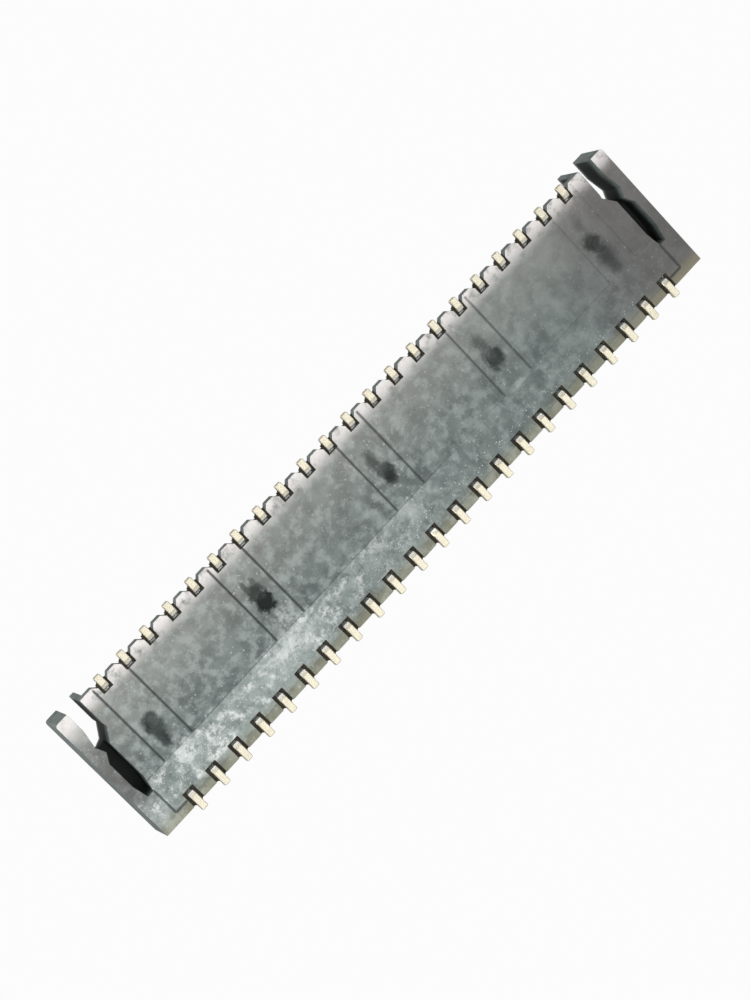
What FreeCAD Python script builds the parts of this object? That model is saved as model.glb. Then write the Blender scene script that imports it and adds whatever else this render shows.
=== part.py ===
import FreeCAD, Part
import math
import os
import re
import Sketcher

# Cable connector, surface mounted, 45 contacts in one line at 0.3 mm pitch.
# Frame: board plane at z = 0, +X along the row of contacts, cable enters from -Y,
# the actuator's free edge is at +Y. Millimetres.

DIMS = {
    # Row of contacts
    "pitch": 0.30,
    "front_count": 23,
    "end_margin": 0.85,
    # Housing block
    "housing_depth": 2.90,
    "housing_height": 0.90,
    "standoff": 0.05,
    "floor_thickness": 0.27,
    "rear_floor_thickness": 0.23,
    "corner_round": 0.06,
    # Cable slot
    "roof_thickness": 0.38,
    "cable_side_gap": 0.02,
    "stop_wall": 0.25,
    "mouth_chamfer": 0.08,
    "lip_length": 0.18,
    "lip_drop": 0.08,
    "side_lead": 0.10,
    "side_lead_length": 0.20,
    # Openings at the two ends, measured from the end face and the rear face
    "arm_width": 0.30,
    "opening_width": 0.34,
    "opening_bulge": 0.015,
    "opening_straight": 0.60,
    "opening_waist": 0.68,
    "shoulder_reach": 0.94,
    "slot_inner_edge": 0.475,
    "slot_outer_edge": 0.20,
    "slot_taper_start": 1.80,
    "slot_end": 2.13,
    "slot_end_inner_edge": 0.415,
    "slot_end_outer_edge": 0.265,
    "slot_depth": 0.55,
    "nub_start": 0.43,
    "nub_reach": 1.00,
    "nub_height": 0.115,
    "nub_half_length": 0.20,
    "nub_foot": 0.03,
    # Underside relief
    "relief_depth": 0.015,
    "strip_width": 0.74,
    "strip_spacing": 3.00,
    "strip_shift": 0.15,
    "band_start": 1.92,
    "band_end": 2.72,
    "gate_radius": 0.15,
    "gate_depth": 0.02,
    "gate_setback": 1.24,
    # Cavities
    "side_clearance": 0.01,
    "cavity_skin": 0.12,
    "roof_skin": 0.15,
    "headroom": 0.02,
    "end_clearance": 0.04,
    "front_notch_width": 0.27,
    "front_notch_depth": 0.32,
    "rear_notch_width": 0.24,
    "rear_notch_depth": 0.25,
    "tooth_corner": 0.09,
    # Contacts
    "contact_thickness": 0.14,
    "front_tail_reach": 0.15,
    "rear_tail_reach": 0.10,
    "tail_height": 0.12,
    "bend_cut": 0.035,
    "beam_depth": 0.11,
    "beam_taper": 0.04,
    "upper_arm_depth": 0.12,
    "point_reach": 0.04,
    "point_half_width": 0.03,
    "front_point_setback": 0.75,
    "rear_point_setback": 0.50,
    "tip_reach": 0.14,
    "arm_proud": 0.02,
    "arm_reach": 0.26,
    "arm_taper": 0.06,
    "hook_drop": 0.08,
    "hook_slope": 0.12,
    "lower_arm_reach": 0.44,
    # Actuator
    "pivot_setback": 0.46,
    "lever_reach": 0.58,
    "lever_setback": 0.21,
    "cam_half_width": 0.10,
    "cam_chamfer": 0.075,
    "cam_land": 0.04,
    "cam_fillet": 0.165,
    "cam_clearance": 0.015,
    "lever_thickness": 0.25,
    "lever_bevel": 0.06,
    "arm_slot_clearance": 0.02,
    "arm_slot_slack": 0.12,
    "pin_radius": 0.08,
    "pin_length": 0.08,
    "pin_clearance": 0.015,
    "bearing_wall": 0.11,
    "actuator_end_gap": 0.02,
}

# Places worked out from the sizes above; each name stands for an expression.
HALF_LENGTH = "((front_count - 1) * pitch + end_margin)"
FRONT = "(-housing_depth / 2)"
REAR = "(housing_depth / 2)"
TOP = "(standoff + housing_height)"
FLOOR_TOP = "(standoff + floor_thickness)"
REAR_FLOOR_TOP = "(standoff + rear_floor_thickness)"
ROOF_UNDER = "(standoff + housing_height - roof_thickness)"
REAR_NOTCH_END = f"({REAR} - rear_notch_depth)"
PIVOT_Y = f"({REAR} - lever_setback - lever_reach)"
STOP_REAR = f"({PIVOT_Y} - pivot_setback)"
STOP_FRONT = f"({STOP_REAR} - stop_wall)"
CABLE_HALF = "(front_count * pitch + cable_side_gap)"
CAVITY_FLOOR = "(standoff + cavity_skin)"
CAVITY_WIDTH = "(contact_thickness + 2 * side_clearance)"
BEAM_TOP = "(standoff + cavity_skin + beam_depth)"
LOWER_ARM_TOP = f"({REAR_FLOOR_TOP} + arm_proud)"
CAVITY_ROOF = f"({TOP} - roof_skin)"
UPPER_ARM_TOP = f"({CAVITY_ROOF} - headroom)"
UPPER_ARM_UNDER = f"({UPPER_ARM_TOP} - upper_arm_depth)"
CAM_HALF_HEIGHT = f"(({UPPER_ARM_UNDER} - {LOWER_ARM_TOP}) / 2 - cam_clearance)"
CAM_SHOULDER = f"({CAM_HALF_HEIGHT} - cam_chamfer)"
PIVOT_Z = f"(({UPPER_ARM_UNDER} + {LOWER_ARM_TOP}) / 2)"
FRONT_NOTCH_END = f"({FRONT} + front_notch_depth)"
BEARING_FACE = f"({HALF_LENGTH} - arm_width - opening_width - bearing_wall)"
LEVER_HALF = f"({BEARING_FACE} - actuator_end_gap)"
LEVER_TOP = f"({CAM_HALF_HEIGHT} + lever_thickness)"
FIRST_FRONT = "(-(front_count - 1) * pitch)"
FIRST_REAR = "(-(front_count - 2) * pitch)"
OUTSIDE = 0.3

doc = FreeCAD.newDocument("CableConnector")


def make_sheet():
    sheet = doc.addObject("Spreadsheet::Sheet", "Dims")
    for row, (name, value) in enumerate(DIMS.items(), start=1):
        sheet.set(f"A{row}", str(value))
        sheet.setAlias(f"A{row}", name)
    doc.recompute()


def bound(expression):
    """The expression with every size's name pointing at its cell."""
    def cell(match):
        word = match.group()
        return "Dims." + word if word in DIMS else word
    return re.sub(r"[a-z][a-z_]+", cell, str(expression))


def make_body(label):
    body = doc.addObject("PartDesign::Body", label)
    body.Label = label
    return body


def origin_feature(body, role):
    return next(item for item in body.Origin.OriginFeatures if item.Role == role)


def arc_between(start, end, radius):
    """The arc from start to end, bulging to the right of the way there."""
    half = (end - start) * 0.5
    rise = math.sqrt(max(radius ** 2 - half.Length ** 2, 0.0))
    left = FreeCAD.Vector(-half.y, half.x, 0).normalize()
    centre = start + half + left * rise
    first = math.atan2(start.y - centre.y, start.x - centre.x)
    last = math.atan2(end.y - centre.y, end.x - centre.x)
    circle = Part.Circle(centre, FreeCAD.Vector(0, 0, 1), radius)
    return Part.ArcOfCircle(circle, first, last)


def draw_loop(sketch, corners):
    """A closed outline. A corner is (across, up) or (across, up, radius of the next arc)."""
    def number(expression):
        return float(sketch.evalExpression(bound(expression)))

    places = [FreeCAD.Vector(number(c[0]), number(c[1]), 0) for c in corners]
    first = sketch.GeometryCount
    total = len(corners)
    for i, corner in enumerate(corners):
        start, end = places[i], places[(i + 1) % total]
        if len(corner) == 3:
            edge = arc_between(start, end, number(corner[2]))
        else:
            edge = Part.LineSegment(start, end)
        sketch.addGeometry(edge, False)
    rules = []
    sizes = []
    for i, corner in enumerate(corners):
        edge = first + i
        rules.append(Sketcher.Constraint("Coincident", edge, 2, first + (i + 1) % total, 1))
        sizes.append(None)
        for kind, axis, expression, value in (
            ("DistanceX", -2, corner[0], places[i].x),
            ("DistanceY", -1, corner[1], places[i].y),
        ):
            if expression == "0":
                rules.append(Sketcher.Constraint("PointOnObject", edge, 1, axis))
                sizes.append(None)
            else:
                rules.append(Sketcher.Constraint(kind, edge, 1, value))
                sizes.append(expression)
        if len(corner) == 3:
            rules.append(Sketcher.Constraint("Radius", edge, number(corner[2])))
            sizes.append(corner[2])
    base = sketch.ConstraintCount
    sketch.addConstraint(rules)
    for i, expression in enumerate(sizes):
        if expression is not None:
            sketch.setExpression(f"Constraints[{base + i}]", bound(expression))


def draw(body, name, plane, loops, offset="0"):
    sketch = body.newObject("Sketcher::SketchObject", name)
    sketch.AttachmentSupport = [(origin_feature(body, plane), "")]
    sketch.MapMode = "FlatFace"
    sketch.setExpression(".AttachmentOffset.Base.z", bound(offset))
    for corners in loops:
        draw_loop(sketch, corners)
    return sketch


def add(body, kind, name, sketch, length, symmetric=False, upward=True):
    """Pad or pocket a sketch along its normal, or both ways from it."""
    feature = body.newObject(f"PartDesign::{kind}", name)
    feature.Profile = sketch
    feature.SideType = "Symmetric" if symmetric else "One side"
    feature.Reversed = (kind == "Pocket") == upward
    feature.setExpression("Length", bound(length))
    feature.Refine = True
    sketch.Visibility = False
    return feature


def repeat(body, name, original, spacing, count):
    """Copies of a feature in a row along +X."""
    row = body.newObject("PartDesign::LinearPattern", name)
    row.Originals = [original]
    row.Direction = (origin_feature(body, "X_Axis"), [""])
    row.Mode = "Extent"
    row.setExpression("Length", bound(f"({count} - 1) * ({spacing})"))
    row.setExpression("Occurrences", bound(count))
    body.Tip = row
    return row


def mirrored(corners):
    """The outline on the other side of x = 0, drawn the same way round."""
    flipped = [("-" + c[0], c[1]) for c in corners]
    return flipped[::-1]


def rectangle(left, right, low, high):
    return [(left, low), (right, low), (right, high), (left, high)]


def housing_block(body):
    front_left = ("-" + HALF_LENGTH, FRONT)
    front_right = (HALF_LENGTH, FRONT)
    outline = [
        front_left,
        front_right,
        (HALF_LENGTH, f"{REAR} - corner_round", "corner_round"),
        (f"{HALF_LENGTH} - corner_round", REAR),
        (f"-{HALF_LENGTH} + corner_round", REAR, "corner_round"),
        (f"-{HALF_LENGTH}", f"{REAR} - corner_round"),
    ]
    sketch = draw(body, "BlockPlan", "XY_Plane", [outline], "standoff")
    add(body, "Pad", "Block", sketch, "housing_height")


def end_openings(body):
    """The gap between each end arm and the body, and the blind slot that runs on from it."""
    def at(from_end, from_rear):
        return (f"({HALF_LENGTH} - ({from_end}))", f"{REAR} - ({from_rear})")

    inner = "arm_width + opening_width"
    nub_tip = at("slot_outer_edge + nub_height", "nub_reach")
    shoulder = at("slot_inner_edge", "shoulder_reach")
    gap = [
        at("arm_width", f"-{OUTSIDE}"),
        at("arm_width", "nub_start"),
        at("slot_outer_edge + nub_foot", "nub_reach - nub_half_length"),
        nub_tip,
        shoulder,
        at(f"{inner} + opening_bulge", "opening_waist"),
        at(inner, "opening_straight"),
        at(inner, f"-{OUTSIDE}"),
    ]
    sketch = draw(body, "EndGapPlan", "XY_Plane", [gap, mirrored(gap)], "0")
    add(body, "Pocket", "EndGaps", sketch, f"{TOP} + {OUTSIDE}")
    slot = [
        nub_tip,
        at("slot_outer_edge", "nub_reach + nub_half_length"),
        at("slot_outer_edge", "slot_taper_start"),
        at("slot_end_outer_edge", "slot_end"),
        at("slot_end_inner_edge", "slot_end"),
        at("slot_inner_edge", "slot_taper_start"),
        shoulder,
    ]
    sketch = draw(body, "EndSlotPlan", "XY_Plane", [slot, mirrored(slot)], "0")
    add(body, "Pocket", "EndSlots", sketch, "standoff + slot_depth")


def cable_slot(body):
    """The slot for the cable, with its lower lip, chamfered roof edge and side lead-ins."""
    outline = [
        (f"{FRONT} - {OUTSIDE}", f"{FLOOR_TOP} - lip_drop"),
        (FRONT, f"{FLOOR_TOP} - lip_drop"),
        (f"{FRONT} + lip_length", FLOOR_TOP),
        (STOP_FRONT, FLOOR_TOP),
        (STOP_FRONT, ROOF_UNDER),
        (f"{FRONT} + mouth_chamfer", ROOF_UNDER),
        (FRONT, f"{ROOF_UNDER} + mouth_chamfer"),
        (f"{FRONT} - {OUTSIDE}", f"{ROOF_UNDER} + mouth_chamfer"),
    ]
    sketch = draw(body, "CableSlotProfile", "YZ_Plane", [outline])
    add(body, "Pocket", "CableSlot", sketch, f"2 * {CABLE_HALF}", symmetric=True)
    lead = [
        (f"({CABLE_HALF} - side_lead)", f"{FRONT} - {OUTSIDE}"),
        (f"({CABLE_HALF} + side_lead)", f"{FRONT} - {OUTSIDE}"),
        (f"({CABLE_HALF} + side_lead)", FRONT),
        (f"({CABLE_HALF} - side_lead)", f"{FRONT} + side_lead_length"),
    ]
    sketch = draw(body, "SideLeadPlan", "XY_Plane", [lead, mirrored(lead)], FLOOR_TOP)
    add(body, "Pocket", "SideLeads", sketch, "housing_height")


def actuator_bay(body):
    """The space above the rear floor where the actuator lies, with a groove for its pins."""
    bay = [
        (STOP_REAR, REAR_FLOOR_TOP),
        (f"{REAR} + {OUTSIDE}", REAR_FLOOR_TOP),
        (f"{REAR} + {OUTSIDE}", f"{TOP} + {OUTSIDE}"),
        (f"{STOP_REAR} - lever_bevel", f"{TOP} + {OUTSIDE}"),
        (f"{STOP_REAR} - lever_bevel", UPPER_ARM_TOP),
        (STOP_REAR, UPPER_ARM_UNDER),
    ]
    sketch = draw(body, "BayProfile", "YZ_Plane", [bay])
    add(body, "Pocket", "ActuatorBay", sketch, f"2 * {BEARING_FACE}", symmetric=True)
    radius = "(pin_radius + pin_clearance)"
    groove = [
        (PIVOT_Y, f"{PIVOT_Z} - {radius}", radius),
        (f"{PIVOT_Y} + {radius}", PIVOT_Z),
        (f"{PIVOT_Y} + {radius}", f"{TOP} + {OUTSIDE}"),
        (f"{PIVOT_Y} - {radius}", f"{TOP} + {OUTSIDE}"),
        (f"{PIVOT_Y} - {radius}", PIVOT_Z, radius),
    ]
    sketch = draw(body, "PinGrooveProfile", "YZ_Plane", [groove])
    half = f"({BEARING_FACE} + pin_length)"
    add(body, "Pocket", "PinGrooves", sketch, f"2 * {half}", symmetric=True)


def underside_relief(body):
    """Five shallow strips across the rear part, the front band and the gate marks."""
    centres = [
        "(-2 * strip_spacing - strip_shift)",
        "(-strip_spacing - strip_shift)",
        "(-strip_shift)",
        "(strip_spacing + strip_shift)",
        "(2 * strip_spacing + strip_shift)",
    ]
    band_top = f"{REAR} - band_start"
    strips = [
        rectangle(f"{c} - strip_width / 2", f"{c} + strip_width / 2", band_top, REAR)
        for c in centres
    ]
    sketch = draw(body, "StripPlan", "XY_Plane", strips, "0")
    add(body, "Pocket", "Strips", sketch, "standoff + relief_depth")
    side = f"({HALF_LENGTH} - slot_end_inner_edge)"
    band = rectangle(f"-{side}", side, f"{REAR} - band_end", band_top)
    sketch = draw(body, "BandPlan", "XY_Plane", [band], "0")
    add(body, "Pocket", "FrontBand", sketch, "standoff + relief_depth")
    middle = f"{REAR} - gate_setback"
    gates = [
        [
            (f"{c} - gate_radius", middle, "gate_radius"),
            (c, f"{middle} - gate_radius", "gate_radius"),
            (f"{c} + gate_radius", middle, "gate_radius"),
            (c, f"{middle} + gate_radius", "gate_radius"),
        ]
        for c in centres
    ]
    sketch = draw(body, "GatePlan", "XY_Plane", gates, "0")
    add(body, "Pocket", "GateMarks", sketch, "standoff + relief_depth + gate_depth")


def contact_cavities(body):
    """One row of cavities open to the front and one open to the rear, with tail notches."""
    row_pitch = "2 * pitch"
    front_cavity = [
        (f"{FRONT} - {OUTSIDE}", CAVITY_FLOOR),
        (f"{PIVOT_Y} + lower_arm_reach + headroom", CAVITY_FLOOR),
        (f"{PIVOT_Y} + lower_arm_reach + headroom", CAVITY_ROOF),
        (f"{FRONT} - {OUTSIDE}", CAVITY_ROOF),
    ]
    sketch = draw(body, "FrontCavityProfile", "YZ_Plane", [front_cavity], FIRST_FRONT)
    cut = add(body, "Pocket", "FrontCavity", sketch, CAVITY_WIDTH, symmetric=True)
    repeat(body, "FrontCavities", cut, row_pitch, "front_count")

    cavity_end = f"{FRONT} + rear_point_setback - tip_reach - end_clearance"
    rear_cavity = [
        (cavity_end, CAVITY_FLOOR),
        (f"{REAR} + {OUTSIDE}", CAVITY_FLOOR),
        (f"{REAR} + {OUTSIDE}", CAVITY_ROOF),
        (cavity_end, CAVITY_ROOF),
    ]
    sketch = draw(body, "RearCavityProfile", "YZ_Plane", [rear_cavity], FIRST_REAR)
    cut = add(body, "Pocket", "RearCavity", sketch, CAVITY_WIDTH, symmetric=True)
    repeat(body, "RearCavities", cut, row_pitch, "(front_count - 1)")

    half = "front_notch_width / 2"
    notch = rectangle(
        f"{FIRST_FRONT} - {half}", f"{FIRST_FRONT} + {half}", f"{FRONT} - {OUTSIDE}", FRONT_NOTCH_END
    )
    sketch = draw(body, "FrontNotchPlan", "XY_Plane", [notch], "0")
    cut = add(body, "Pocket", "FrontNotch", sketch, FLOOR_TOP)
    repeat(body, "FrontNotches", cut, row_pitch, "front_count")

    half = "rear_notch_width / 2"
    flare = f"{half} + tooth_corner"
    notch = [
        (f"{FIRST_REAR} - ({flare})", f"{REAR} + {OUTSIDE}"),
        (f"{FIRST_REAR} - ({flare})", REAR),
        (f"{FIRST_REAR} - {half}", f"{REAR} - tooth_corner"),
        (f"{FIRST_REAR} - {half}", REAR_NOTCH_END),
        (f"{FIRST_REAR} + {half}", REAR_NOTCH_END),
        (f"{FIRST_REAR} + {half}", f"{REAR} - tooth_corner"),
        (f"{FIRST_REAR} + {flare}", REAR),
        (f"{FIRST_REAR} + {flare}", f"{REAR} + {OUTSIDE}"),
    ]
    sketch = draw(body, "RearNotchPlan", "XY_Plane", [notch], "0")
    cut = add(body, "Pocket", "RearNotch", sketch, FLOOR_TOP)
    repeat(body, "RearNotches", cut, row_pitch, "(front_count - 1)")


def make_housing():
    body = make_body("housing")
    housing_block(body)
    end_openings(body)
    cable_slot(body)
    actuator_bay(body)
    underside_relief(body)
    contact_cavities(body)
    return body


def rear_upper_arm():
    """The arm over the cam with its hook, from the column's rear side round to its end."""
    return [
        (f"{STOP_REAR} + headroom", LOWER_ARM_TOP),
        (f"{STOP_REAR} + headroom", UPPER_ARM_UNDER),
        (f"{PIVOT_Y} + arm_reach - hook_slope", UPPER_ARM_UNDER),
        (f"{PIVOT_Y} + arm_reach", f"{UPPER_ARM_UNDER} - hook_drop"),
        (f"{PIVOT_Y} + arm_reach", f"{UPPER_ARM_TOP} - arm_taper"),
    ]


def beams(point):
    """The tapered upper beam, the column's front side and the two contact points."""
    tip = f"{point} - tip_reach"
    root = f"{STOP_FRONT} + side_clearance"
    beam_under = f"({ROOF_UNDER} + point_reach)"
    return [
        (root, UPPER_ARM_TOP),
        (tip, f"{UPPER_ARM_TOP} - beam_taper"),
        (tip, beam_under),
        (f"{point} - point_half_width", f"{ROOF_UNDER} - point_reach"),
        (f"{point} + point_half_width", f"{ROOF_UNDER} - point_reach"),
        (f"{point} + tip_reach", beam_under),
        (root, beam_under),
        (root, BEAM_TOP),
        (f"{point} + tip_reach", BEAM_TOP),
        (f"{point} + point_half_width", f"{FLOOR_TOP} + point_reach"),
        (f"{point} - point_half_width", f"{FLOOR_TOP} + point_reach"),
        (tip, BEAM_TOP),
    ]


def front_contact_outline():
    toe = f"{FRONT} - front_tail_reach"
    heel = f"({FRONT_NOTCH_END} - end_clearance)"
    arm_end = f"{PIVOT_Y} + lower_arm_reach"
    return [
        (toe, "0"),
        (f"{heel} - tail_height", "0"),
        (f"{heel} - bend_cut", "bend_cut"),
        (heel, "tail_height"),
        (heel, CAVITY_FLOOR),
        (arm_end, CAVITY_FLOOR),
        (arm_end, LOWER_ARM_TOP),
        *rear_upper_arm(),
        *beams(f"{FRONT} + front_point_setback"),
        (f"{heel} - end_clearance", BEAM_TOP),
        (f"{FRONT} + side_clearance", "tail_height"),
        (toe, "tail_height"),
    ]


def rear_contact_outline():
    toe = f"{REAR} + rear_tail_reach"
    heel = f"({REAR_NOTCH_END} + end_clearance)"
    tip = f"({FRONT} + rear_point_setback - tip_reach)"
    return [
        (tip, CAVITY_FLOOR),
        (heel, CAVITY_FLOOR),
        (heel, "tail_height"),
        (f"{heel} + bend_cut", "bend_cut"),
        (f"{heel} + tail_height", "0"),
        (toe, "0"),
        (toe, "tail_height"),
        (f"{REAR} - side_clearance", "tail_height"),
        (f"{heel} - end_clearance", LOWER_ARM_TOP),
        *rear_upper_arm(),
        *beams(f"{FRONT} + rear_point_setback"),
    ]


def make_contact(label, outline, place):
    """One blanked contact, centred on its own plane and set at its place in the row."""
    body = make_body(label)
    sketch = draw(body, f"Blank_{label}", "YZ_Plane", [outline])
    add(body, "Pad", f"Sheet_{label}", sketch, "contact_thickness", symmetric=True)
    body.setExpression(".Placement.Base.x", bound(place))
    return body


def make_contacts():
    front = front_contact_outline()
    rear = rear_contact_outline()
    count = int(DIMS["front_count"])
    made = []
    for k in range(count):
        made.append(make_contact(f"front_contact_{k + 1:02d}", front, f"{FIRST_FRONT} + {2 * k} * pitch"))
    for k in range(count - 1):
        made.append(make_contact(f"rear_contact_{k + 1:02d}", rear, f"{FIRST_REAR} + {2 * k} * pitch"))
    return made


def make_actuator():
    """The flip lever, drawn closed round its own pivot line."""
    body = make_body("actuator")
    under = CAM_HALF_HEIGHT
    left, right = "-cam_half_width", "cam_half_width"
    cam_foot = [
        (left, "-" + CAM_SHOULDER),
        ("-cam_land", "-" + CAM_HALF_HEIGHT),
        ("cam_land", "-" + CAM_HALF_HEIGHT),
        (right, "-" + CAM_SHOULDER),
        (right, CAM_SHOULDER),
    ]
    lever = [
        *cam_foot,
        ("cam_half_width + cam_fillet", under),
        ("lever_reach - lever_bevel / 2", under),
        ("lever_reach", f"{under} + lever_bevel"),
        ("lever_reach", f"{LEVER_TOP} - lever_bevel"),
        ("lever_reach - lever_bevel", LEVER_TOP),
        ("-cam_half_width + lever_bevel", LEVER_TOP),
        (left, f"{LEVER_TOP} - lever_bevel"),
    ]
    sketch = draw(body, "LeverProfile", "YZ_Plane", [lever])
    add(body, "Pad", "Lever", sketch, f"2 * {LEVER_HALF}", symmetric=True)

    slot = rectangle(
        f"-cam_half_width - {OUTSIDE}", "arm_reach + arm_slot_slack",
        f"-{CAM_HALF_HEIGHT} - {OUTSIDE}", f"{LEVER_TOP} + {OUTSIDE}",
    )
    sketch = draw(body, "ArmSlotProfile", "YZ_Plane", [slot], FIRST_FRONT)
    width = "contact_thickness + 2 * arm_slot_clearance"
    cut = add(body, "Pocket", "ArmSlot", sketch, width, symmetric=True)
    repeat(body, "ArmSlots", cut, "pitch", "(2 * front_count - 1)")

    cam = [
        *cam_foot,
        ("cam_land", CAM_HALF_HEIGHT),
        ("-cam_land", CAM_HALF_HEIGHT),
        (left, CAM_SHOULDER),
    ]
    sketch = draw(body, "CamProfile", "YZ_Plane", [cam])
    add(body, "Pad", "Cam", sketch, f"2 * {LEVER_HALF}", symmetric=True)

    pin = [
        ("pin_radius", "0", "pin_radius"),
        ("0", "pin_radius", "pin_radius"),
        ("-pin_radius", "0", "pin_radius"),
        ("0", "-pin_radius", "pin_radius"),
    ]
    sketch = draw(body, "PinProfile", "YZ_Plane", [pin])
    reach = f"({BEARING_FACE} + pin_length - actuator_end_gap)"
    add(body, "Pad", "Pins", sketch, f"2 * {reach}", symmetric=True)
    body.setExpression(".Placement.Base.y", bound(PIVOT_Y))
    body.setExpression(".Placement.Base.z", bound(PIVOT_Z))
    return body


def check_document():
    for item in doc.Objects:
        if "Invalid" in item.State or "Error" in item.State:
            raise RuntimeError(f"{item.Name} failed: {item.State}")


def check_cuts(body):
    """Every pocket takes material away and every pad adds some."""
    before = 0.0
    for feature in body.Group:
        if feature.isDerivedFrom("Sketcher::SketchObject"):
            continue
        volume = feature.Shape.Volume
        grows = feature.isDerivedFrom("PartDesign::Pad")
        if grows != (volume > before) or volume == before:
            raise RuntimeError(f"{body.Label}: {feature.Label} changes nothing")
        before = volume


def write_parts(bodies):
    os.makedirs("parts", exist_ok=True)
    for body in bodies:
        shape = body.Shape
        if shape.isNull() or not shape.isValid() or len(shape.Solids) != 1:
            raise RuntimeError(f"{body.Label} is not one valid solid")
        check_cuts(body)
    for body in bodies:
        body.Shape.exportStep(f"parts/{body.Label}.step")


make_sheet()
parts = [make_housing(), make_actuator(), *make_contacts()]
doc.recompute()
check_document()
write_parts(parts)
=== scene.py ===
import math

import bmesh
import bpy
from mathutils import Matrix, Vector


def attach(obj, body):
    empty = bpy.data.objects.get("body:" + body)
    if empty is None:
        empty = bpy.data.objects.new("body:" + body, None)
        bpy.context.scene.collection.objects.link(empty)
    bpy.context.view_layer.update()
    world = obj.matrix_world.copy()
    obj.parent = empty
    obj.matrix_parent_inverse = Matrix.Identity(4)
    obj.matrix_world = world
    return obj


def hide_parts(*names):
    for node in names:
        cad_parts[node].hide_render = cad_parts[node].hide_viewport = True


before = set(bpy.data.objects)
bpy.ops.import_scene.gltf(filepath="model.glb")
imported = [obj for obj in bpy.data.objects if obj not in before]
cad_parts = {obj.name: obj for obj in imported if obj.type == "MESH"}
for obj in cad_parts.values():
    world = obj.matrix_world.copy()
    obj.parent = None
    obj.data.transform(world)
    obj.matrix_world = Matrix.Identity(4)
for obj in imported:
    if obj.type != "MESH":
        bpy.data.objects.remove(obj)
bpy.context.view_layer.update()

# The underside of a fine-pitch cable connector, looked at from below, as it lies in the photograph.
# Lengths are written in millimetres and turned to metres with MM.
MM = 0.001
BODY = "connector"
LEVER_BODY = "flip_actuator"

# The moulding: its half length and half depth, the front band on its underside, and the height
# up to which a face that looks down belongs to the underside
HALF_LENGTH = 7.45
HALF_DEPTH = 1.45
BAND_LOW = -1.27
BAND_HIGH = -0.47
BAND_HALF = 7.035
BAND_FLOOR = 0.065
UNDERSIDE_TOP = 0.11

# The strips that the mould's inserts left, from +X to -X: middle, and how clear the painted shade along their
# edges is
STRIPS = ((6.15, 0.85), (3.15, 0.90), (-0.15, 0.80), (-3.15, 0.62), (-6.15, 0.10))
STRIP_HALF = 0.37
STRIP_REAR = 1.40

# Witness lines of the inserts, with the shade in their grooves painted dark: x low, x high, y low, y high,
# strength
SEAM = 0.023
SEAM_SOFT = 0.018
CORNER_X = 6.74
CORNER_Y = -0.68
SEAM_SHADE_LINES = (
    *((middle + side * STRIP_HALF - SEAM, middle + side * STRIP_HALF + SEAM, BAND_HIGH, STRIP_REAR, clear)
      for middle, clear in STRIPS for side in (-1, 1)),
    *((side * BAND_HALF - SEAM, side * BAND_HALF + SEAM, BAND_LOW, CORNER_Y, 0.80) for side in (-1, 1)),
    (CORNER_X, BAND_HALF, BAND_LOW - SEAM, BAND_LOW + SEAM, 0.80),
    (-BAND_HALF, -CORNER_X, BAND_LOW - SEAM, BAND_LOW + SEAM, 0.80),
    (-1.0, BAND_HALF, BAND_HIGH - SEAM / 2, BAND_HIGH + SEAM / 2, 0.45),
    (3.24, 3.28, BAND_HIGH, 0.02, 0.30),
)

# Marks on the underside, all as ovals: x, y, half width, half length, softness of the edge, strength
GATE_MARKS = (
    (6.19, 0.29, 0.18, 0.11, 0.35, 0.72),
    (6.21, 0.17, 0.18, 0.13, 0.35, 0.78),
    (6.19, 0.03, 0.16, 0.15, 0.40, 0.72),
    (6.24, -0.18, 0.10, 0.17, 0.45, 0.76),
    (3.17, 0.22, 0.18, 0.24, 0.25, 1.00),
    (3.17, 0.46, 0.17, 0.17, 0.40, 0.80),
    (3.27, 0.66, 0.05, 0.13, 0.50, 0.60),
    (3.08, 0.64, 0.05, 0.10, 0.50, 0.60),
    (-0.15, 0.17, 0.17, 0.21, 0.35, 0.78),
    (-0.15, 0.11, 0.08, 0.09, 0.40, 0.92),
    (-0.10, 0.54, 0.12, 0.24, 0.60, 0.55),
    (-3.13, 0.18, 0.18, 0.22, 0.35, 0.85),
    (-3.12, 0.54, 0.12, 0.28, 0.65, 0.50),
    (-6.06, 0.30, 0.16, 0.19, 0.50, 0.80),
    (-6.10, -0.08, 0.17, 0.32, 0.70, 0.55),
    (-6.11, 0.72, 0.10, 0.22, 0.80, 0.30),
)
FLUX_SPILLS = (
    (3.10, -0.26, 0.26, 0.16, 0.6, 0.45),
    (3.40, -0.72, 0.60, 0.22, 0.7, 0.70),
    (6.12, -0.64, 0.28, 0.17, 0.5, 0.95),
    (7.22, -1.05, 0.18, 0.26, 0.6, 0.30),
    (-0.08, -0.50, 0.26, 0.06, 0.6, 0.45),
    (-0.05, -0.66, 0.26, 0.20, 0.6, 0.25),
    (-3.15, -0.49, 0.24, 0.05, 0.6, 0.35),
)
# A painted highlight in the rear corner at +X, as an oval
CORNER_HIGHLIGHT = ((7.28, 1.32, 0.30, 0.42, 0.9, 0.85),)

# The distance from an oval's middle at which its edge lies, in its own half widths, once torn
OVAL_EDGE = 1.5

# Grains of dried flux on the front band: radius, number to the square metre, and the patch's front
CRUMB_RADIUS = 0.009
CRUMB_DENSITY = 1.1e9
CRUMB_SEED = 7
CRUMB_FRONT = -1.10
CRUMB_REAR = BAND_HIGH - 0.02

# The films beside the tails, baked flux that is also painted shade in the notches: name, tails in the row,
# y of the notch's inner end, reach from there along the notch's side, and half the notch's width. Along the
# tail they reach a little farther
TAIL_STEP = 0.60
TAIL_HALF = 0.07
RESIN_SHADE_LEVELS = (0.07, 0.11)
RESIN_SHADE_ALONG_TAIL = 1.1
RESIN_SHADE_ROWS = (
    ("front_resin_shade", 23, -HALF_DEPTH + 0.32, -0.32, 0.135),
    ("rear_resin_shade", 22, HALF_DEPTH - 0.25, 0.24, 0.12),
)

# How far the edges are rounded: on mouldings, and on the blanked and plated contacts
MOULDED_EDGE = 0.010
BLANKED_EDGE = 0.012

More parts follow.
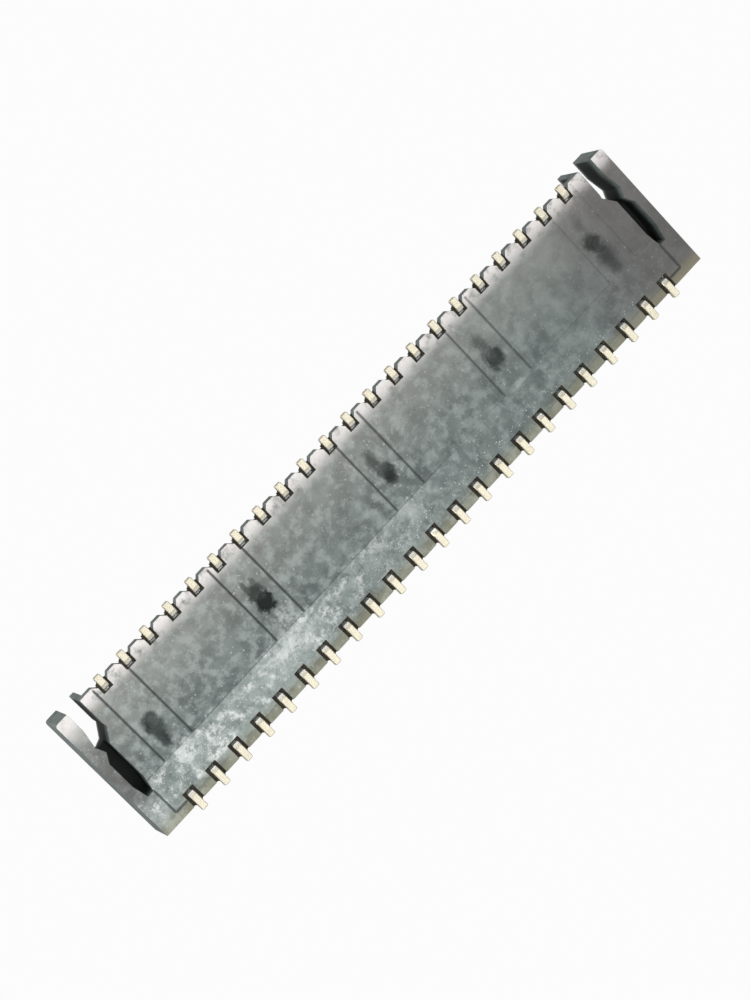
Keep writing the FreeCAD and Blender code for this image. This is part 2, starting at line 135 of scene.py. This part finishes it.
# In the copy of a CAD piece: the distance under which points are one, the angle under which an edge
# is only a split in a flat face, and the angle over which an edge is rounded
SAME_POINT = 0.0005
FLAT_ANGLE = math.radians(1.0)
EDGE_ANGLE = math.radians(25)

# Soft lamps: name, place, size in millimetres, power in watts
LAMPS = (
    ("key_below", (-12, -24, -58), 60, 0.013),
    ("end_below", (27, 9, -22), 22, 0.0052),
    ("rear_below", (-6, 60, -40), 50, 0.010),
    ("key_above", (-60, -50, 90), 70, 0.085),
    ("fill_above", (70, 60, 70), 90, 0.034),
)
ROOM_STRENGTH = 0.36
FLOOR_SIZE = 600

# Camera: fitted to the underside in the photograph
CAMERA_PLACE = Vector((11.64, 13.36, -52.33)) * MM
CAMERA_AIM = Vector((-0.2038, -0.242, 0.9486))
CAMERA_ROLL = math.radians(45.281)
CAMERA_LENS = 108.0


def linear(code):
    """An sRGB colour such as #7D8683 as the linear numbers a shader takes."""
    parts = [int(code[i:i + 2], 16) / 255 for i in (1, 3, 5)]
    curve = [c / 12.92 if c <= 0.04045 else ((c + 0.055) / 1.055) ** 2.4 for c in parts]
    return (*curve, 1.0)


def add_node(tree, kind, inputs=None, **settings):
    """A node with its settings and its inputs, each a value or another node's output."""
    made = tree.nodes.new(kind)
    for name, value in settings.items():
        setattr(made, name, value)
    for key, value in (inputs or {}).items():
        if isinstance(value, bpy.types.NodeSocket):
            tree.links.new(value, made.inputs[key])
        else:
            made.inputs[key].default_value = value
    return made


def start_material(name):
    """A new material and its empty tree."""
    material = bpy.data.materials.new(name)
    material.use_nodes = True
    material.node_tree.nodes.clear()
    return material, material.node_tree


def faded(tree, strength, *fades):
    """A mask: the strength after each fade (value, low, full, rest) in turn. It stays where the value is
    full, and goes to rest, or to nothing, where it is low. Each number may be another mask."""
    for value, low, full, *rest in fades:
        fade = add_node(
            tree, "ShaderNodeMapRange",
            {
                "Value": value,
                "From Min": low,
                "From Max": full,
                "To Min": rest[0] if rest else 0.0,
                "To Max": strength,
            },
            interpolation_type="SMOOTHSTEP",
        )
        strength = fade.outputs[0]
    return strength


def between(value, low, high, soft):
    """The two fades that keep a mask between low and high millimetres, eased over soft to both sides."""
    return (
        (value, (low - soft) * MM, (low + soft) * MM),
        (value, (high + soft) * MM, (high - soft) * MM),
    )


def patches(tree, place, feature, low, full, strength=1.0, roughness=0.6):
    """A cloudy mask whose patches are about feature millimetres across."""
    cloud = add_node(
        tree, "ShaderNodeTexNoise",
        {"Vector": place, "Scale": 1 / (feature * MM), "Detail": 4.0, "Roughness": roughness},
    )
    return faded(tree, strength, (cloud.outputs[0], low, full))


def ovals(tree, place, wobble, marks):
    """A mask of ovals with edges torn by the wobble, from a table such as GATE_MARKS."""
    mask = 0.0
    for x, y, half_width, half_length, soft, strength in marks:
        local = add_node(
            tree, "ShaderNodeMapping",
            {
                "Vector": place,
                "Location": (x * MM, y * MM, 0.0),
                "Scale": (half_width * MM, half_length * MM, 1.0),
            },
            vector_type="TEXTURE",
        )
        reach = add_node(tree, "ShaderNodeVectorMath", {0: local.outputs[0]}, operation="LENGTH")
        torn = add_node(
            tree, "ShaderNodeMath", {0: reach.outputs["Value"], 1: wobble}, operation="ADD",
        ).outputs[0]
        mask = faded(tree, strength, (torn, OVAL_EDGE + soft, OVAL_EDGE - soft, mask))
    return mask


def fine_lines(tree, x, y, lines):
    """A mask of fine straight lines, from a table such as SEAM_SHADE_LINES."""
    mask = 0.0
    for x_low, x_high, y_low, y_high, strength in lines:
        across = between(x, x_low, x_high, SEAM_SOFT)
        along = between(y, y_low, y_high, SEAM_SOFT)
        line = faded(tree, strength, *across, *along)
        mask = add_node(tree, "ShaderNodeMath", {0: mask, 1: line}, operation="MAXIMUM").outputs[0]
    return mask


def layered(tree, base, layers):
    """The base colour under a stack of colours, each laid on where its mask is."""
    for mask, code in layers:
        mix = add_node(tree, "ShaderNodeMix", {0: mask, 6: base, 7: linear(code)}, data_type="RGBA")
        base = mix.outputs[2]
    return base


def skin_patterns(tree, place, x, below):
    """Masks of the cloudy skin: cloud, mottle, blotch and glints. They are liveliest where the flux ran
    over the underside. The glints are pale ends of glass fibre with a painted sparkle of light on them, drawn
    coarser than they are, so they show."""
    lively = faded(tree, 1.0, (x, -6.0 * MM, 1.0 * MM, 0.35), (below, 0.0, 1.0, 0.30))
    strong = faded(tree, 0.80, (lively, 0.0, 1.0))
    medium = faded(tree, 0.75, (lively, 0.0, 1.0))
    return (
        patches(tree, place, 0.50, 0.30, 0.70),
        patches(tree, place, 0.21, 0.42, 0.66, medium),
        patches(tree, place, 0.30, 0.50, 0.72, strong),
        patches(tree, place, 0.05, 0.64, 0.74, medium, 0.4),
    )


def flux_patterns(tree, place, x, y):
    """Masks of the flux on the front band, driest towards +X: its pale bed, the white crust, the gaps
    in the crust and the spills over the band's edge."""
    bed = faded(
        tree, 0.30,
        (x, 4.8 * MM, 6.6 * MM, 0.58),
        (x, 1.5 * MM, 4.2 * MM, 0.22),
        (x, -3.5 * MM, 0.5 * MM),
        *between(y, BAND_LOW, BAND_HIGH, 0.015),
    )
    bed = patches(tree, place, 0.12, 0.10, 0.55, bed, 0.7)
    area = faded(tree, 1.0, (x, -1.5 * MM, 4.0 * MM, 0.10), *between(y, -1.18, BAND_HIGH + 0.03, 0.06))
    crust = patches(tree, place, 0.32, 0.38, 0.64, area)
    crust = patches(tree, place, 0.17, 0.42, 0.61, crust, 0.75)
    gaps = patches(tree, place, 0.14, 0.54, 0.70, faded(tree, 0.55, (area, 0.0, 1.0)), 0.7)
    spill = ovals(tree, place, patches(tree, place, 0.16, 0.2, 0.8, 1.0, 0.8), FLUX_SPILLS)
    spill = patches(tree, place, 0.10, 0.34, 0.58, spill, 0.8)
    return bed, crust, gaps, spill


def underside_tints_and_highlights(tree, place, x, y):
    """Colours laid on the underside: dull and darker on both ends, a painted highlight along the rear edge
    and in its corner, tan on the front teeth."""
    far_end = faded(tree, 0.64, (x, -4.4 * MM, -7.0 * MM))
    near_end = faded(
        tree, 0.52,
        (x, (BAND_HALF + 0.02) * MM, (BAND_HALF + 0.12) * MM),
        *between(y, -0.76, 0.62, 0.28),
    )
    # Painted highlight: near white along the rear edge, where the light falls strongest
    rear = patches(tree, place, 0.20, 0.25, 0.55, faded(tree, 1.0, *between(y, 1.22, HALF_DEPTH + 0.3, 0.22)))
    front = faded(tree, 0.30, (y, -1.12 * MM, -1.42 * MM))
    # Painted highlight in the rear corner at +X
    corner = ovals(tree, place, 1.0, CORNER_HIGHLIGHT)
    return (
        (far_end, "#5B5150"),
        (near_end, "#5B5150"),
        (rear, "#FFFAF7"),
        (front, "#C8BC8C"),
        (corner, "#FFFAF7"),
    )


def moulded_polymer():
    """Glass-filled liquid crystal polymer as moulded: a cloudy grey-green skin, paler and rough with
    dried flux on the front band, fine lines where the mould's inserts met, darkened with painted shade, torn
    gate marks, and painted light and highlights towards the rear edge."""
    material, tree = start_material("moulded_polymer")
    place = add_node(tree, "ShaderNodeTexCoord").outputs["Object"]
    x, y, z = add_node(tree, "ShaderNodeSeparateXYZ", {0: place}).outputs
    normal = add_node(tree, "ShaderNodeNewGeometry").outputs["True Normal"]
    facing = add_node(tree, "ShaderNodeSeparateXYZ", {0: normal}).outputs["Z"]
    below = faded(
        tree, 1.0,
        (facing, -0.3, -0.6),
        (z, UNDERSIDE_TOP * MM, (UNDERSIDE_TOP - 0.01) * MM),
    )

    cloud, mottle, blotch, glints = skin_patterns(tree, place, x, below)
    bed, crust, gaps, spill = flux_patterns(tree, place, x, y)
    # Painted light: a pale warm tint that grows towards the rear edge, where the light falls strongest
    painted_rear_light = faded(tree, 0.30, (y, -0.60 * MM, 1.60 * MM))
    tear = faded(tree, 0.70, (patches(tree, place, 0.14, 0.25, 0.75), 0.0, 1.0, 0.30))
    gate = patches(tree, place, 0.07, 0.05, 0.38, ovals(tree, place, tear, GATE_MARKS))
    gate = faded(tree, gate, (below, 0.0, 1.0))
    # The witness lines of the inserts: painted shade of their grooves, also sunk a little by the bump
    seam_shade = fine_lines(tree, x, y, SEAM_SHADE_LINES)

    # Little light gets inside: walls within the outline that look neither up nor down are darker
    deep = faded(
        tree, 1.0,
        (facing, 0.5, 0.1),
        (z, 0.10 * MM, 0.42 * MM),
        *between(x, -HALF_LENGTH + 0.05, HALF_LENGTH - 0.05, 0.02),
        *between(y, -HALF_DEPTH + 0.04, HALF_DEPTH - 0.04, 0.01),
        (z, 0.90 * MM, 0.80 * MM),
    )

    skin = layered(tree, linear("#566160"), (
        (cloud, "#7A8582"),
        (mottle, "#A2ADAA"),
        (blotch, "#464F4E"),
    ))
    underside = layered(tree, skin, (
        # painted light towards the rear
        (painted_rear_light, "#CFCBC2"),
        (bed, "#AEBBB6"),
        (crust, "#F2F6F4"),
        (gaps, "#5F6A68"),
        (spill, "#E4EAE8"),
        # among them the painted highlights along the rear edge and in its corner
        *underside_tints_and_highlights(tree, place, x, y),
        # pale glass fibre ends with a painted sparkle
        (glints, "#CAD3D0"),
        (gate, "#2A2F2E"),
        # painted shade in the inserts' witness lines
        (seam_shade, "#2F3534"),
    ))
    base = add_node(tree, "ShaderNodeMix", {0: below, 6: skin, 7: underside}, data_type="RGBA").outputs[2]

    height = add_node(tree, "ShaderNodeMath", {0: crust, 1: mottle}, operation="ADD").outputs[0]
    for sunk in (gate, seam_shade):
        height = add_node(tree, "ShaderNodeMath", {0: height, 1: sunk}, operation="SUBTRACT").outputs[0]
    relief = add_node(tree, "ShaderNodeBump", {"Height": height, "Distance": 0.008 * MM, "Strength": below})
    dark = add_node(tree, "ShaderNodeMath", {0: gate, 1: deep}, operation="MAXIMUM").outputs[0]
    shader = add_node(
        tree, "ShaderNodeBsdfPrincipled",
        {
            "Base Color": layered(tree, base, ((deep, "#3C3F3E"),)),
            "Roughness": faded(tree, 0.75, (crust, 0.0, 1.0, 0.55)),
            "IOR": 1.6,
            "Specular IOR Level": faded(tree, 0.05, (dark, 0.0, 0.6, 0.5)),
            "Normal": relief.outputs[0],
        },
    )
    add_node(tree, "ShaderNodeOutputMaterial", {"Surface": shader.outputs[0]})
    return material


def gold_plate():
    """Gold over nickel on a blanked copper alloy: bright and warm, paler on the soldered tails, painted
    near white as a highlight under their bend, and duller where flux dried. Its streaks are drawn coarser
    than they are, to show."""
    material, tree = start_material("gold_plate")
    place = add_node(tree, "ShaderNodeTexCoord").outputs["Object"]
    z = add_node(tree, "ShaderNodeSeparateXYZ", {0: place}).outputs["Z"]
    normal = add_node(tree, "ShaderNodeNewGeometry").outputs["True Normal"]
    facing = add_node(tree, "ShaderNodeSeparateXYZ", {0: normal}).outputs["Z"]
    stain = patches(tree, place, 0.16, 0.45, 0.75)
    tail = faded(tree, 1.0, (z, 0.24 * MM, 0.16 * MM))
    # Painted highlight: the faces under the tails' bend, in shade in the notch, are painted near white
    bend = faded(tree, tail, (z, 0.01 * MM, 0.04 * MM), (facing, -0.1, -0.3))
    streaks = patches(tree, place, 0.03, 0.3, 0.7)
    relief = add_node(tree, "ShaderNodeBump", {"Height": streaks, "Distance": 0.0015 * MM, "Strength": 1.0})
    clean = faded(tree, 0.42, (tail, 0.0, 1.0, 0.30))
    shader = add_node(
        tree, "ShaderNodeBsdfPrincipled",
        {
            "Base Color": layered(tree, linear("#E3C278"), (
                (stain, "#D9C58A"),
                (tail, "#F1EAD4"),
                # painted highlight under the bend
                (bend, "#FFFEFA"),
            )),
            "Metallic": 1.0,
            "Roughness": faded(tree, 0.50, (stain, 0.0, 1.0, clean)),
            "Normal": relief.outputs[0],
        },
    )
    add_node(tree, "ShaderNodeOutputMaterial", {"Surface": shader.outputs[0]})
    return material


def black_polymer():
    """The same kind of polymer filled black, as moulded: a satin skin with a faint flow pattern. The
    grain of the mould is finer than a pixel, so it is drawn coarser."""
    material, tree = start_material("black_polymer")
    place = add_node(tree, "ShaderNodeTexCoord").outputs["Object"]
    flow = patches(tree, place, 0.40, 0.3, 0.7)
    grain = patches(tree, place, 0.05, 0.3, 0.7)
    relief = add_node(tree, "ShaderNodeBump", {"Height": grain, "Distance": 0.003 * MM, "Strength": 1.0})
    shader = add_node(
        tree, "ShaderNodeBsdfPrincipled",
        {
            "Base Color": layered(tree, linear("#232425"), ((flow, "#34373A"),)),
            "Roughness": 0.46,
            "IOR": 1.6,
            "Normal": relief.outputs[0],
        },
    )
    add_node(tree, "ShaderNodeOutputMaterial", {"Surface": shader.outputs[0]})
    return material


def dried_flux():
    """Rosin flux dried to crumbs: chalky, slightly see-through grains."""
    material, tree = start_material("dried_flux")
    place = add_node(tree, "ShaderNodeTexCoord").outputs["Object"]
    chalk = patches(tree, place, 0.2, 0.3, 0.7)
    shader = add_node(
        tree, "ShaderNodeBsdfPrincipled",
        {
            "Base Color": layered(tree, linear("#CBD5D0"), ((chalk, "#F1F4F1"),)),
            "Roughness": 0.55,
            "Subsurface Weight": 0.3,
            "Subsurface Radius": (0.02 * MM, 0.02 * MM, 0.02 * MM),
        },
    )
    add_node(tree, "ShaderNodeOutputMaterial", {"Surface": shader.outputs[0]})
    return material


def resin_and_shade():
    """Rosin flux baked to a dark amber resin beside the tails: brown-black, with little gloss, and dark
    enough to be painted shade in the notches too.
    """
    material, tree = start_material("resin_and_shade")
    place = add_node(tree, "ShaderNodeTexCoord").outputs["Object"]
    amber = patches(tree, place, 0.12, 0.3, 0.7)
    shader = add_node(
        tree, "ShaderNodeBsdfPrincipled",
        {
            # Brown-black: flux residue and painted shade of the notches in one
            "Base Color": layered(tree, linear("#211E17"), ((amber, "#3A3527"),)),
            "Roughness": 0.50,
            "Specular IOR Level": 0.2,
        },
    )
    add_node(tree, "ShaderNodeOutputMaterial", {"Surface": shader.outputs[0]})
    return material


def finished_copy(node, name, radius):
    """A merged copy of a CAD piece with its edges rounded, worked in millimetres."""
    mesh = bpy.data.meshes.new(name)
    work = bmesh.new()
    work.from_mesh(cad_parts[node].data)
    bmesh.ops.scale(work, vec=Vector((1 / MM,) * 3), verts=work.verts)
    bmesh.ops.remove_doubles(work, verts=work.verts, dist=SAME_POINT)
    bmesh.ops.dissolve_limit(work, angle_limit=FLAT_ANGLE, verts=work.verts, edges=work.edges)
    sharp = [e for e in work.edges if e.is_manifold and e.calc_face_angle(0.0) > EDGE_ANGLE]
    bmesh.ops.bevel(
        work, geom=sharp, offset=radius, offset_type="OFFSET", segments=1,
        profile=0.5, affect="EDGES", clamp_overlap=True, miter_outer="SHARP",
    )
    bmesh.ops.triangulate(work, faces=work.faces)
    bmesh.ops.scale(work, vec=Vector((MM,) * 3), verts=work.verts)
    work.to_mesh(mesh)
    work.free()
    piece = bpy.data.objects.new(name, mesh)
    bpy.context.scene.collection.objects.link(piece)
    return piece


def dress(node, name, material, body, radius):
    """The visible piece for a CAD node: its finished copy in the real material."""
    piece = finished_copy(node, name, radius)
    piece.data.materials.append(material)
    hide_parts(node)
    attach(piece, body)


def start_growth(name, inputs, result):
    """A Geometry Nodes tree with its named inputs and its one output."""
    tree = bpy.data.node_groups.new(name, "GeometryNodeTree")
    for label, kind in inputs.items():
        tree.interface.new_socket(label, in_out="INPUT", socket_type=kind)
    tree.interface.new_socket(result, in_out="OUTPUT", socket_type="NodeSocketGeometry")
    return tree, add_node(tree, "NodeGroupInput").outputs


def close_growth(tree, instances, material):
    """Ends a Geometry Nodes tree: the instances become real mesh in their material."""
    real = add_node(tree, "GeometryNodeRealizeInstances", {0: instances})
    dressed = add_node(tree, "GeometryNodeSetMaterial", {"Geometry": real.outputs[0], "Material": material})
    add_node(tree, "NodeGroupOutput", {0: dressed.outputs[0]})


def grow(name, start_mesh, tree, values):
    """A piece on the housing: what the tree makes of the start mesh, baked to a plain mesh."""
    piece = bpy.data.objects.new(name, start_mesh)
    bpy.context.scene.collection.objects.link(piece)
    grower = piece.modifiers.new(name, "NODES")
    grower.node_group = tree
    sockets = {s.name: s.identifier for s in tree.interface.items_tree}
    for label, value in values.items():
        grower[sockets[label]] = value
    bpy.context.view_layer.update()
    grown = piece.evaluated_get(bpy.context.evaluated_depsgraph_get())
    piece.data = bpy.data.meshes.new_from_object(grown)
    piece.modifiers.clear()
    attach(piece, BODY)


def crumb_tree(material):
    """Geometry nodes that strew flattened grains over a patch, in drifts that thicken towards +X."""
    tree, given = start_growth(
        "flux_crumbs",
        {
            "Patch": "NodeSocketGeometry",
            "Density": "NodeSocketFloat",
            "Grain": "NodeSocketFloat",
            "Seed": "NodeSocketInt",
        },
        "Crumbs",
    )
    place = add_node(tree, "GeometryNodeInputPosition").outputs[0]
    along = add_node(tree, "ShaderNodeSeparateXYZ", {0: place}).outputs["X"]
    drift = patches(tree, place, 0.35, 0.48, 0.64, faded(tree, 1.0, (along, 0.5 * MM, 5.0 * MM)), 0.7)
    density = add_node(tree, "ShaderNodeMath", {0: drift, 1: given["Density"]}, operation="MULTIPLY")
    points = add_node(
        tree, "GeometryNodeDistributePointsOnFaces",
        {"Mesh": given["Patch"], "Density": density.outputs[0], "Seed": given["Seed"]},
    )
    grain = add_node(tree, "GeometryNodeMeshIcoSphere", {"Radius": given["Grain"], "Subdivisions": 1})
    turn = add_node(
        tree, "FunctionNodeRandomValue",
        {0: (0.0, 0.0, 0.0), 1: (0.4, 0.4, math.tau), "Seed": given["Seed"]},
        data_type="FLOAT_VECTOR",
    )
    shape = add_node(
        tree, "FunctionNodeRandomValue",
        {0: (0.4, 0.4, 0.3), 1: (1.7, 1.7, 0.8), "Seed": given["Seed"]},
        data_type="FLOAT_VECTOR",
    )
    strewn = add_node(
        tree, "GeometryNodeInstanceOnPoints",
        {
            "Points": points.outputs["Points"],
            "Instance": grain.outputs["Mesh"],
            "Rotation": turn.outputs[0],
            "Scale": shape.outputs[0],
        },
    )
    close_growth(tree, strewn.outputs[0], material)
    return tree


def flux_crumbs():
    """Grains of dried flux strewn over the front band."""
    patch = bpy.data.meshes.new("flux_patch")
    corners = (
        (-BAND_HALF, CRUMB_FRONT),
        (BAND_HALF, CRUMB_FRONT),
        (BAND_HALF, CRUMB_REAR),
        (-BAND_HALF, CRUMB_REAR),
    )
    patch.from_pydata([(x * MM, y * MM, BAND_FLOOR * MM) for x, y in corners], [], [(0, 1, 2, 3)])
    grow(
        "flux_crumbs", patch, crumb_tree(dried_flux()),
        {"Density": CRUMB_DENSITY, "Grain": CRUMB_RADIUS * MM, "Seed": CRUMB_SEED},
    )


def row_tree(material):
    """Geometry nodes that repeat one piece along +X, each repeat a little shorter in y than given."""
    tree, given = start_growth(
        "resin_shade_row",
        {
            "Piece": "NodeSocketGeometry",
            "First": "NodeSocketVector",
            "Step": "NodeSocketVector",
            "Count": "NodeSocketInt",
            "Seed": "NodeSocketInt",
        },
        "Row",
    )
    line = add_node(
        tree, "GeometryNodeMeshLine",
        {"Count": given["Count"], "Start Location": given["First"], "Offset": given["Step"]},
        mode="OFFSET",
    )
    reach = add_node(
        tree, "FunctionNodeRandomValue",
        {0: (1.0, 0.95, 1.0), 1: (1.0, 1.0, 1.0), "Seed": given["Seed"]},
        data_type="FLOAT_VECTOR",
    )
    repeated = add_node(
        tree, "GeometryNodeInstanceOnPoints",
        {"Points": line.outputs["Mesh"], "Instance": given["Piece"], "Scale": reach.outputs[0]},
    )
    close_growth(tree, repeated.outputs[0], material)
    return tree


def resin_shade_web(name, reach, notch_half):
    """The two films between one tail and the sides of its notch, from the notch's inner end over the
    reach towards the tail's toe: baked flux, dark as the painted shade in the notch."""
    film = bpy.data.meshes.new(name)
    work = bmesh.new()
    middle = (TAIL_HALF + notch_half) / 2
    plan = [(TAIL_HALF, 0.0), (notch_half, 0.0), (notch_half, 1.0), (middle, 1.0)]
    plan.append((TAIL_HALF, RESIN_SHADE_ALONG_TAIL))
    for side in (-1, 1):
        low, high = (
            [work.verts.new((side * x * MM, part * reach * MM, level * MM)) for x, part in plan]
            for level in RESIN_SHADE_LEVELS
        )
        if side * reach < 0:
            low, high = low[::-1], high[::-1]
        work.faces.new(low[::-1])
        work.faces.new(high)
        for k, corner in enumerate(low):
            beside = (k + 1) % len(low)
            work.faces.new((corner, low[beside], high[beside], high[k]))
    work.to_mesh(film)
    work.free()
    return film


def resin_shade_webs():
    """Films of baked flux beside the tails, dark so that they are also painted shade in the notches, in one
    piece for each row.
    """
    tree = row_tree(resin_and_shade())
    for name, count, heel, reach, notch_half in RESIN_SHADE_ROWS:
        grow(
            name, resin_shade_web(name, reach, notch_half), tree,
            {
                "First": (-(count - 1) / 2 * TAIL_STEP * MM, heel * MM, 0.0),
                "Step": (TAIL_STEP * MM, 0.0, 0.0),
                "Count": count,
                "Seed": count,
            },
        )


def make_object():
    """Every visible piece: the CAD pieces dressed, then the dried flux and the resin, which is also painted
    shade in the notches, on the housing.
    """
    polymer = moulded_polymer()
    gold = gold_plate()
    black = black_polymer()
    dress("housing", "housing_moulding", polymer, BODY, MOULDED_EDGE)
    dress("actuator", "actuator_lever", black, LEVER_BODY, MOULDED_EDGE)
    for node in sorted(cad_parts):
        if "contact" in node:
            dress(node, node + "_blank", gold, BODY, BLANKED_EDGE)
    flux_crumbs()
    resin_shade_webs()


def pale_floor():
    """A pale card at the board plane. It shows from above only, so the underside stays in view."""
    bpy.ops.mesh.primitive_plane_add(size=FLOOR_SIZE * MM)
    floor = bpy.context.object
    floor.name = "floor"
    material, tree = start_material("pale_card")
    matte = add_node(tree, "ShaderNodeBsdfDiffuse", {"Color": linear("#E9E9E7")})
    clear = add_node(tree, "ShaderNodeBsdfTransparent")
    behind = add_node(tree, "ShaderNodeNewGeometry").outputs["Backfacing"]
    shader = add_node(tree, "ShaderNodeMixShader", {0: behind, 1: matte.outputs[0], 2: clear.outputs[0]})
    add_node(tree, "ShaderNodeOutputMaterial", {"Surface": shader.outputs[0]})
    floor.data.materials.append(material)
    floor.visible_shadow = False
    floor.visible_diffuse = False
    floor.visible_glossy = False


def soft_lamp(name, place, size, power):
    """A square area lamp that faces the middle of the object."""
    data = bpy.data.lights.new(name, "AREA")
    data.size = size * MM
    data.energy = power
    lamp = bpy.data.objects.new(name, data)
    lamp.location = Vector(place) * MM
    lamp.rotation_euler = Vector(place).to_track_quat("Z", "Y").to_euler()
    bpy.context.scene.collection.objects.link(lamp)


def light_the_scene():
    """Soft lamps below and above, in a pale room that is seen white without lighting the object so."""
    for lamp in LAMPS:
        soft_lamp(*lamp)
    world = bpy.data.worlds.new("pale_room")
    bpy.context.scene.world = world
    world.use_nodes = True
    tree = world.node_tree
    tree.nodes.clear()
    rays = add_node(tree, "ShaderNodeLightPath")
    seen = add_node(
        tree, "ShaderNodeMath",
        {0: rays.outputs["Is Camera Ray"], 1: rays.outputs["Is Transmission Ray"]},
        operation="MAXIMUM",
    ).outputs[0]
    room = add_node(tree, "ShaderNodeBackground", {"Color": linear("#F4F4F4"), "Strength": ROOM_STRENGTH})
    backdrop = add_node(tree, "ShaderNodeBackground", {"Color": linear("#FCFCFC"), "Strength": 1.0})
    mix = add_node(tree, "ShaderNodeMixShader", {0: seen, 1: room.outputs[0], 2: backdrop.outputs[0]})
    add_node(tree, "ShaderNodeOutputWorld", {"Surface": mix.outputs[0]})


def set_camera():
    """The photograph's view: from below, rolled so that the long side climbs to the right."""
    data = bpy.data.cameras.new("camera")
    data.lens = CAMERA_LENS
    data.sensor_width = 36.0
    data.sensor_fit = "AUTO"
    data.clip_start = 0.001
    data.clip_end = 10.0
    camera = bpy.data.objects.new("camera", data)
    aim = CAMERA_AIM.normalized()
    up = Vector((-math.sin(CAMERA_ROLL), math.cos(CAMERA_ROLL), 0.0))
    up = (up - aim * up.dot(aim)).normalized()
    right = aim.cross(up)
    turn = Matrix((right, up, -aim)).transposed()
    camera.matrix_world = Matrix.Translation(CAMERA_PLACE) @ turn.to_4x4()
    bpy.context.scene.collection.objects.link(camera)
    bpy.context.scene.camera = camera


bpy.context.scene.view_settings.view_transform = "Standard"
set_camera()
light_the_scene()
pale_floor()
make_object()
